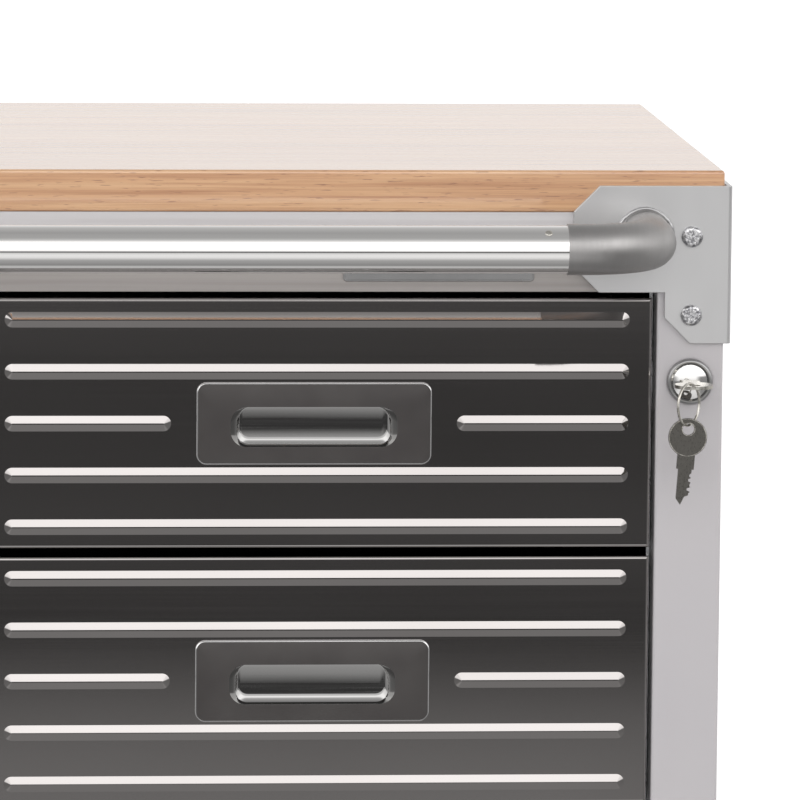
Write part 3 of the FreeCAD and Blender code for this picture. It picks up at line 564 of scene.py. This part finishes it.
def pull_parts(drawer, looks):
    """Dark plate with a bright rim; a flared cup, chrome darkened as painted shade, under a
    straight upper edge.
    """
    node = "drawer_pull_" + drawer
    low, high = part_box(node)
    face = low.y
    middle = middle_of(low.x, high.x)
    centre_z = middle_of(low.z, high.z) - CUP_DROP
    x0, x1 = middle - CUP_HALF[0], middle + CUP_HALF[0]
    z0, z1 = centre_z - CUP_HALF[1], centre_z + CUP_HALF[1]

    def outline(inset, y):
        """The plate's edge."""
        return rounded(low.x + inset, high.x - inset, low.z + inset, high.z - inset,
                       6 * MM - inset, y)

    def mouth(y, sides, bottom, top, radius):
        """The cup's section at a depth."""
        return rounded(x0 + sides, x1 - sides, z0 + bottom, z1 - top, radius, y)

    plate = Mesh()
    rim = plate.loft([outline(0, FRONT), outline(0, face + 0.62 * MM),
                      outline(0.10 * MM, face + 0.45 * MM), outline(0.62 * MM, face + 0.06 * MM),
                      outline(0.80 * MM, face)], mark=1)
    edge = plate.ring(mouth(face, 0, 0, 0, MOUTH_R * MM))
    plate.bridge(rim[-1], edge)
    behind = plate.ring(mouth(FRONT, 0, 0, 0, MOUTH_R * MM))
    plate.bridge(edge, behind)
    plate.bridge(behind, rim[0])
    plate_piece = plate.make("pull_plate_" + drawer, "drawer_" + drawer,
                             [looks["pull_grey"], looks["rim_steel"]])
    smoothed(plate_piece, 25)
    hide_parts(node)

    cup = Mesh()
    made = cup.loft([mouth(face + depth * MM, sides * MM, bottom * MM, top * MM, radius * MM)
                     for depth, sides, bottom, top, radius in CUP_WALLS])
    last = cup.ring(mouth(face + CUP_DEPTH, 6.0 * MM, 5.2 * MM, 1.3 * MM, 5.6 * MM))
    cup.bridge(made[-1], last)
    cup.face(last)
    # the cup's chrome is darkened as painted shade of the recess
    cup_piece = cup.make("pull_cup_" + drawer, "drawer_" + drawer,
                         [looks["cup_chrome"]])
    smoothed(cup_piece, 24)
    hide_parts(node)


# ------------------------------------------------------------------ bar, rail and lock trim
FOOT_REACH = 17.3 * MM                  # elbow axis to the outside of its weld
BEAD_CIRCLE = 16.4 * MM
BEAD_RADIUS = 1.15 * MM
BEAD_LIFT = 0.9 * MM                    # in front of the bracket's face


def weld_beads(looks):
    """A rippled bead round the foot of each elbow."""
    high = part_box("bar_elbows")[1]
    axis_z = high.z - FOOT_REACH
    for side, name in ((-1, "left"), (1, "right")):
        centre = Vector((side * (high.x - FOOT_REACH), high.y - BEAD_LIFT, axis_z))
        bead = Mesh()
        rings = []
        for i, angle in enumerate(turns(132)):
            out = Vector((math.cos(angle), 0, math.sin(angle)))
            swell = 1.0 + 0.06 * math.sin(i * math.tau / 6) + 0.08 * math.sin(angle * 3 + side)
            radius = BEAD_RADIUS * swell
            ring_middle = centre + out * (BEAD_CIRCLE + 0.2 * MM * math.sin(angle * 5))
            rings.append([ring_middle + out * radius * math.cos(a)
                          + Vector((0, 1, 0)) * radius * math.sin(a) for a in turns(10)])
        bead.loft(rings + [rings[0]])
        bead.make("weld_bead_" + name, "cabinet", [looks["weld_steel"]])


def dome(mesh, centre, out, radius, height, mark=0):
    """A domed head."""
    profile = [(0.0, radius), (height * 0.35, radius * 0.98), (height * 0.68, radius * 0.80),
               (height * 0.90, radius * 0.50), (height, 0.0)]
    mesh.spin(profile, centre, out, 24, mark)


PLATE_X = (230 * MM, 344 * MM)          # left and right ends of the blank plate
PLATE_RISE = 6.2 * MM                   # above the rail's lower edge
PLATE_HEIGHT = 12 * MM


def rail_plate(looks):
    """Blank bevelled plate with a raised border, riveted to the rail behind the bar."""
    face = rail_low.y + 2 * MM
    x0, x1 = PLATE_X
    z0 = rail_low.z + PLATE_RISE
    z1 = z0 + PLATE_HEIGHT
    plate = Mesh()

    def outline(inset, proud):
        """The plate's edge."""
        return rounded(x0 + inset, x1 - inset, z0 + inset, z1 - inset, 2.2 * MM - inset * 0.8,
                       face - proud)

    plate.loft([outline(0, 0), outline(0.0, 0.5 * MM), outline(0.3 * MM, 0.8 * MM),
                outline(0.9 * MM, 0.8 * MM), outline(1.1 * MM, 0.55 * MM)], cap_end=True)
    for x in (x0 + 4.5 * MM, x1 - 4.5 * MM):
        dome(plate, (x, face - 0.5 * MM, middle_of(z0, z1)), (0, -1, 0), 1.7 * MM, 0.8 * MM, 1)
    smoothed(plate.make("rail_plate", "cabinet",
                        [looks["plate_steel"], looks["zinc"]]), 30)


PLUG_X = 344 * MM                       # each side of the bar's middle
PLUG_LIFT = math.radians(49)            # up from straight ahead, round the bar


def bar_plugs(looks):
    """Small plug in the bar's upper face, near the right elbow, and its twin on the left."""
    middle = middle_of(*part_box("push_bar"))
    out = Vector((0, -math.cos(PLUG_LIFT), math.sin(PLUG_LIFT)))
    for side, name in ((-1, "left"), (1, "right")):
        plug = Mesh()
        base = Vector((side * PLUG_X, middle.y, middle.z)) + out * 13.7 * MM
        dome(plug, base, out, 2.3 * MM, 0.9 * MM)
        plug.make("bar_plug_" + name, "cabinet", [looks["nickel"]])


RIVET_SHARES = (0.06, 0.35, 0.65, 0.94)     # heights up the posts
RIVET_EDGE = 12 * MM                    # from the skin's edge
RIVET_SINK = 0.1 * MM
RIVET_SIZE = (3.2 * MM, 1.1 * MM)       # radius and height of a head


def rivets(looks):
    """Blind rivets that hold the side and back skins to the posts."""
    side_low, side_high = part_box("side_panels")
    back_low, back_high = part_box("back_panel")
    heights = [post_low.z + (post_high.z - post_low.z) * share for share in RIVET_SHARES]
    skin = Mesh()
    for sign in (-1, 1):
        for y in (side_low.y + RIVET_EDGE, side_high.y - RIVET_EDGE):
            for z in heights:
                dome(skin, (sign * (side_high.x - RIVET_SINK), y, z), (sign, 0, 0), *RIVET_SIZE)
    smoothed(skin.make("side_rivets", "cabinet", [looks["zinc"]]), 40)
    skin = Mesh()
    for x in (back_low.x + RIVET_EDGE, 0, back_high.x - RIVET_EDGE):
        for z in heights:
            dome(skin, (x, back_high.y - RIVET_SINK, z), (0, 1, 0), *RIVET_SIZE)
    smoothed(skin.make("back_rivets", "cabinet", [looks["zinc"]]), 40)


CAP_CROWN = 1.7 * MM
CAP_RADIUS = 10.3 * MM
CAP_STEPS = 8
LOCK_RING = ((-3.2, 13.7), (-2.6, 14.0), (-1.2, 13.8), (-0.2, 13.2),    # forward and radius,
             (0.25, 12.6), (0.3, 12.0), (0.0, 11.5), (-0.2, 11.2))      # millimetres


def lock_face(looks):
    """Domed cap on the turning plug, and a dished ring round the housing."""
    low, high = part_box("lock_housing")
    middle = middle_of(low, high)
    face = low.y
    cap = Mesh()
    profile = [(-0.3 * MM, CAP_RADIUS), (0.3 * MM, CAP_RADIUS)]
    for i in range(1, CAP_STEPS + 1):
        left = 1 - i / CAP_STEPS
        profile.append((0.3 * MM + CAP_CROWN * (1 - left ** 2), CAP_RADIUS * left))
    cap.spin(profile, (middle.x, face + 0.3 * MM, middle.z), (0, -1, 0), 56)
    smoothed(cap.make("lock_cap", "lock_plug", [looks["cap_chrome"]]), 50)
    ring = Mesh()
    ring.spin([(d * MM, r * MM) for d, r in LOCK_RING], (middle.x, face, middle.z),
              (0, -1, 0), 64)
    smoothed(ring.make("lock_ring", "cabinet", [looks["plate_steel"]]), 60)


KEY_TILT = math.radians(4.2)            # of the hanging key
BOW_RADIUS = 11.5 * MM
EYE_RISE = 5 * MM                       # the hole above the bow's middle


def spare_key_trim(looks):
    """Raised edges of the bow and its hole, on the visible face of the hanging key."""
    low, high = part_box("spare_key")
    down = Vector((-math.sin(KEY_TILT), 0, -math.cos(KEY_TILT)))
    across = Vector((math.cos(KEY_TILT), 0, -math.sin(KEY_TILT)))
    bow = Vector((middle_of(low.x, high.x), low.y, high.z - BOW_RADIUS))
    for name, inner, outer, rise in (("rim", 10.7, 11.4, 0.0), ("eye", 3.55, 4.2, EYE_RISE)):
        centre = bow - down * rise
        rim = Mesh()
        rings = []
        for angle in turns(56):
            out = across * math.cos(angle) - down * math.sin(angle)
            rings.append([centre + out * r * MM + Vector((0, -h * MM, 0))
                          for r, h in ((inner, -0.1), (inner + 0.2, 0.2), (outer - 0.2, 0.2),
                                       (outer, -0.1))])
        rim.loft(rings + [rings[0]])
        smoothed(rim.make("spare_key_" + name, "spare_key", [looks["nickel"]]), 40)


# ------------------------------------------------------------------------ drawer insides
LINER_INSET = 2.2 * MM                  # from the tray's outside
LINER_RISE = 1.25 * MM                  # from the tray's underside
LINER_PITCH = 5 * MM
HEM_RADIUS = 1.5 * MM
HEM_INSET = 0.6 * MM


def liners(looks):
    """Ribbed mats on the trays' floors."""
    for drawer in DRAWERS:
        low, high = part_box("drawer_tray_" + drawer)
        right = high.x - SLIDE_SPACE
        x0, x1 = low.x + LINER_INSET, right - LINER_INSET
        y0, y1 = low.y + LINER_INSET, high.y - LINER_INSET
        z = low.z + LINER_RISE
        mat = Mesh()
        count = int((y1 - y0) / LINER_PITCH)
        pitch = (y1 - y0) / count
        section = [(y0, 0.0)]
        for i in range(count):
            start = y0 + i * pitch
            section += [(start + pitch * 0.08, 1.0 * MM), (start + pitch * 0.30, 1.9 * MM),
                        (start + pitch * 0.52, 1.9 * MM), (start + pitch * 0.74, 1.0 * MM)]
        section += [(y1, 0.0)]
        ends = [mat.ring([(x, y, z + h) for y, h in section]) for x in (x0, x1)]
        mat.bridge(ends[0], ends[1])
        mat.face(ends[0][::-1])
        mat.face(ends[1])
        smoothed(mat.make("liner_" + drawer, "drawer_" + drawer,
                          [looks["liner_rubber"]]), 50)


def hems(looks):
    """Rolled upper edges of the trays."""
    for drawer in DRAWERS:
        low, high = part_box("drawer_tray_" + drawer)
        right = high.x - SLIDE_SPACE
        z = high.z - 0.4 * MM
        x0, x1 = low.x + HEM_INSET, right - HEM_INSET
        y0, y1 = low.y + HEM_RADIUS, high.y - HEM_INSET
        path = [(x0, y0), (x1, y0), (x1, y1), (x0, y1)]
        hem = Mesh()
        rings = []
        for x, y in path + path[:1]:
            out = Vector((1 if x > middle_of(x0, x1) else -1,
                          1 if y > middle_of(y0, y1) else -1, 0))
            rings.append([Vector((x, y, z)) + out * HEM_RADIUS * math.cos(a)
                          + Vector((0, 0, 1)) * HEM_RADIUS * math.sin(a) for a in turns(12)])
        hem.loft(rings)
        smoothed(hem.make("tray_hem_" + drawer, "drawer_" + drawer,
                          [looks["tray_paint"]]), 50)


# ------------------------------------------------------------------------------ wheels
TREAD_TRIM = 1 * MM                     # the tread is narrower than the hub, each side
AXLE = 5.96 * MM                        # the hub's bore
HUB_RIM = 44.4 * MM
TREAD = (                               # share of the half width, millimetres under the crown
    (0, 0), (0.30, 0.25), (0.58, 1.0), (0.80, 2.8), (0.94, 5.6), (1.0, 9.0), (1.0, 11.4),
    (0.95, 11.9), (0.95, 12.6), (1.0, 13.1), (0.99, 17.0), (0.90, 18.4))
HUB = (                                 # forward of the face and radius, millimetres
    (0, 39.5), (-1.0, 38.2), (-5.4, 36.8), (-6.4, 35.0), (-6.4, 20.0), (-5.6, 18.8), (0.4, 17.6),
    (1.0, 16.6), (1.0, 14.4), (3.0, 13.8), (3.0, 10.4), (2.2, 9.8))
SPOKES = 8


def wheels(looks):
    """Lathed tread with a crown and side lines, and a spoked hub with a bearing."""
    for row in ("front", "rear"):
        for side in ("left", "right"):
            node = "wheel_" + row + "_" + side
            low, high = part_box(node)
            centre = middle_of(low, high)
            width = (high.y - low.y) / 2 - TREAD_TRIM
            radius = (high.z - low.z) / 2
            tyre = Mesh()
            half = [(share * width, radius - drop * MM) for share, drop in TREAD]
            profile = [(-along, r) for along, r in half[::-1]] + half[1:]
            tyre.spin(profile, centre, (0, 1, 0), 96)
            tread = smoothed(tyre.make("tread_" + row + "_" + side, node,
                                       [looks["rubber"]]), 60)
            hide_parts(node)
            hub = Mesh()
            outer = width - 2 * MM
            steps = [(outer - 1.2 * MM, HUB_RIM), (outer, HUB_RIM - 1.2 * MM)]
            steps += [(outer + forward * MM, r * MM) for forward, r in HUB]
            steps += [(outer + 2.2 * MM, AXLE), (0.0, AXLE)]
            for face in (-1, 1):
                hub.spin([(face * d, r) for d, r in steps], centre, (0, 1, 0), 72)
                for angle in turns(SPOKES):
                    spoke(hub, centre, face, outer, angle)
            part = smoothed(hub.make("hub_" + row + "_" + side, node,
                                     [looks["hub_plastic"]]), 35)
            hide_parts(node)


def spoke(hub, centre, face, outer, angle):
    """A tapered rib in the hub's dish."""
    out = Vector((math.cos(angle), 0, math.sin(angle)))
    side = Vector((-math.sin(angle), 0, math.cos(angle)))
    rings = []
    for radius, half in ((17.8 * MM, 2.1 * MM), (27 * MM, 1.6 * MM), (38.0 * MM, 2.3 * MM)):
        base = centre + out * radius
        floor, crest = face * (outer - 6.8 * MM), face * (outer - 1.6 * MM)
        rings.append([base + side * half + Vector((0, floor, 0)),
                      base + side * half * 0.75 + Vector((0, crest - face * 0.7 * MM, 0)),
                      base + side * half * 0.35 + Vector((0, crest, 0)),
                      base - side * half * 0.35 + Vector((0, crest, 0)),
                      base - side * half * 0.75 + Vector((0, crest - face * 0.7 * MM, 0)),
                      base - side * half + Vector((0, floor, 0))])
    hub.loft(rings, cap_start=True, cap_end=True)


# --------------------------------------------------------------------------- assemblage
def looks_of_all():
    """Every material by its slot or use."""
    return {
        "beech": beech(), "grey_paint": grey_paint(), "rail_paint_and_shadow": rail_paint_and_shadow(),
        "graphite_steel": graphite_steel(), "satin_steel": satin_steel(),
        # the cup chrome is the chrome darkened to 0.40 as painted shade inside the pull recesses
        "elbow_steel": elbow_steel(), "chrome": chrome(), "cup_chrome": chrome("cup_chrome", 0.40),
        "cap_chrome": chrome("cap_chrome", 0.86), "screw_chrome": screw_chrome(),
        "nickel": nickel(), "key_steel": key_steel(), "zinc": zinc(), "pull_grey": pull_grey(),
        "rim_steel": satin_steel("rim_steel", 0.72, 0.12, 0.2),
        "weld_steel": satin_steel("weld_steel", 0.50, 0.26, 0.38),
        "plate_steel": satin_steel("plate_steel", 0.42, 0.24, 0.34),
        "tray_paint": tray_paint(),
        "brake_paint": black_paint(), "rubber": rubber(),
        "grey_rubber": rubber("grey_rubber"), "hub_plastic": hub_plastic(),
        "liner_rubber": liner_rubber(), "floor_paint": floor_paint(),
    }


def dress(looks):
    """Materials for the CAD nodes that stay."""
    special = {"front_rail": "rail_paint_and_shadow", "bar_elbows": "elbow_steel", "spare_key": "key_steel",
               "lock_plug": "chrome", "bracket_screws": "screw_chrome"}
    for name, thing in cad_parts.items():
        for slot in thing.material_slots:
            slot.material = looks[special.get(name, slot.material.name.split(".")[0])]


FLOOR_HALF = 24.0


def make_floor(looks):
    """Wide pale floor that fades to white away from the bench."""
    half = FLOOR_HALF
    mesh = bpy.data.meshes.new("floor")
    mesh.from_pydata([(-half, -half, 0), (half, -half, 0), (half, half, 0), (-half, half, 0)],
                     [], [(0, 1, 2, 3)])
    mesh.materials.append(looks["floor_paint"])
    floor = bpy.data.objects.new("floor", mesh)
    bpy.context.scene.collection.objects.link(floor)
    floor.visible_glossy = False


# Brightness by degrees above the horizon.  The front profile is finely stepped, because
# the polished fronts mirror it.
FRONT_SKY = (
    (-90, 0.62), (-83, 0.6), (-80, 0.34), (-74, 0.31), (-61, 0.40), (-50, 0.45), (-42, 0.72),
    (-36, 0.95), (-25, 1.05), (-16, 0.9), (-12, 0.66), (-11, 0.48), (-10.6, 0.40),
    (-10.2, 0.30), (-9.65, 0.26), (-9.4, 0.10), (-9.05, 0.06), (-8.7, 0.12), (-8.4, 0.13),
    (-8.0, 0.095), (-6.7, 0.09), (-6.2, 0.16), (-5.2, 0.6), (-3.5, 1.1), (3, 1.5), (22, 1.6),
    (28, 2.5), (37, 2.6), (42, 1.1), (53, 0.62), (62, 0.48), (90, 0.42))
FLANK_SKY = (
    (-90, 0.62), (-84, 0.5), (-70, 0.32), (-40, 0.34), (-25, 0.33), (-6, 0.30), (3, 0.36),
    (8, 1.9), (22, 2.2), (28, 2.7), (37, 2.8), (43, 1.2), (62, 0.5), (90, 0.42))
BACK_SKY = ((-90, 0.62), (-84, 0.6), (-78, 0.32), (-20, 0.6), (-2, 0.9), (2, 1.25), (14, 1.25),
            (24, 1.0), (50, 0.6), (90, 0.42))
SKY_SCALE = 3.0                         # no level in the profiles is above this
STUDIO = 0.79                           # level of the whole sky

SIDE_FADE = (-0.5, 0.1)                 # Y of a direction, from the front's sky to the back's
FLANK_FADE = (0.28, 0.5)                # size of its X, from the front's sky to the flanks'


def make_world():
    """Studio round the bench: brightness by height, in front, at the flanks and behind."""
    world = bpy.data.worlds.new("studio")
    bpy.context.scene.world = world
    world.use_nodes = True
    tree = world.node_tree
    tree.nodes.clear()

    def add(kind, **settings):
        """A new node with its properties."""
        node = tree.nodes.new(kind)
        for name, value in settings.items():
            setattr(node, name, value)
        return node

    place = add("ShaderNodeTexCoord")
    axes = add("ShaderNodeSeparateXYZ")
    tree.links.new(place.outputs["Generated"], axes.inputs["Vector"])
    angle = add("ShaderNodeMath", operation="ARCSINE")
    tree.links.new(axes.outputs["Z"], angle.inputs[0])
    share = add("ShaderNodeMath", operation="MULTIPLY_ADD")
    share.inputs[1].default_value = 1 / math.pi
    share.inputs[2].default_value = 0.5
    tree.links.new(angle.outputs["Value"], share.inputs[0])

    def sky(profile):
        """A profile as a colour ramp."""
        ramp = add("ShaderNodeValToRGB")
        elements = ramp.color_ramp.elements
        while len(elements) < len(profile):
            elements.new(0.5)
        for element, (height, light) in zip(elements, profile):
            element.position = (height + 90) / 180
            level = light / SKY_SCALE
            element.color = (level, level * 0.99, level * 0.985, 1)
        tree.links.new(share.outputs["Value"], ramp.inputs["Fac"])
        return ramp.outputs["Color"]

    side = add("ShaderNodeMapRange", interpolation_type="SMOOTHSTEP")
    side.inputs["From Min"].default_value, side.inputs["From Max"].default_value = SIDE_FADE
    tree.links.new(axes.outputs["Y"], side.inputs["Value"])
    across = add("ShaderNodeMath", operation="ABSOLUTE")
    tree.links.new(axes.outputs["X"], across.inputs[0])
    flank = add("ShaderNodeMapRange", interpolation_type="SMOOTHSTEP")
    flank.inputs["From Min"].default_value, flank.inputs["From Max"].default_value = FLANK_FADE
    tree.links.new(across.outputs["Value"], flank.inputs["Value"])

    def blended(factor, first, second):
        """One colour into another."""
        mixed = add("ShaderNodeMix", data_type="RGBA")
        sockets = {s.name: s for s in mixed.inputs if s.enabled}
        for socket, output in (("Factor", factor), ("A", first), ("B", second)):
            tree.links.new(output, sockets[socket])
        return next(s for s in mixed.outputs if s.enabled)

    front = blended(flank.outputs["Result"], sky(FRONT_SKY), sky(FLANK_SKY))
    around = blended(side.outputs["Result"], front, sky(BACK_SKY))
    studio = add("ShaderNodeBackground")
    studio.inputs["Strength"].default_value = SKY_SCALE * STUDIO
    tree.links.new(around, studio.inputs["Color"])
    white = add("ShaderNodeBackground")
    white.inputs["Color"].default_value = (1, 1, 1, 1)
    path = add("ShaderNodeLightPath")
    choose = add("ShaderNodeMixShader")
    tree.links.new(path.outputs["Is Camera Ray"], choose.inputs["Fac"])
    tree.links.new(studio.outputs["Background"], choose.inputs[1])
    tree.links.new(white.outputs["Background"], choose.inputs[2])
    out = add("ShaderNodeOutputWorld")
    tree.links.new(choose.outputs["Shader"], out.inputs["Surface"])


def main():
    """The whole scene."""
    make_camera()
    bpy.context.scene.view_settings.view_transform = "Standard"
    looks = looks_of_all()
    dress(looks)
    for drawer in DRAWERS:
        pull_parts(drawer, looks)
    weld_beads(looks)
    rail_plate(looks)
    bar_plugs(looks)
    rivets(looks)
    lock_face(looks)
    spare_key_trim(looks)
    liners(looks)
    hems(looks)
    wheels(looks)
    make_floor(looks)
    make_world()


main()
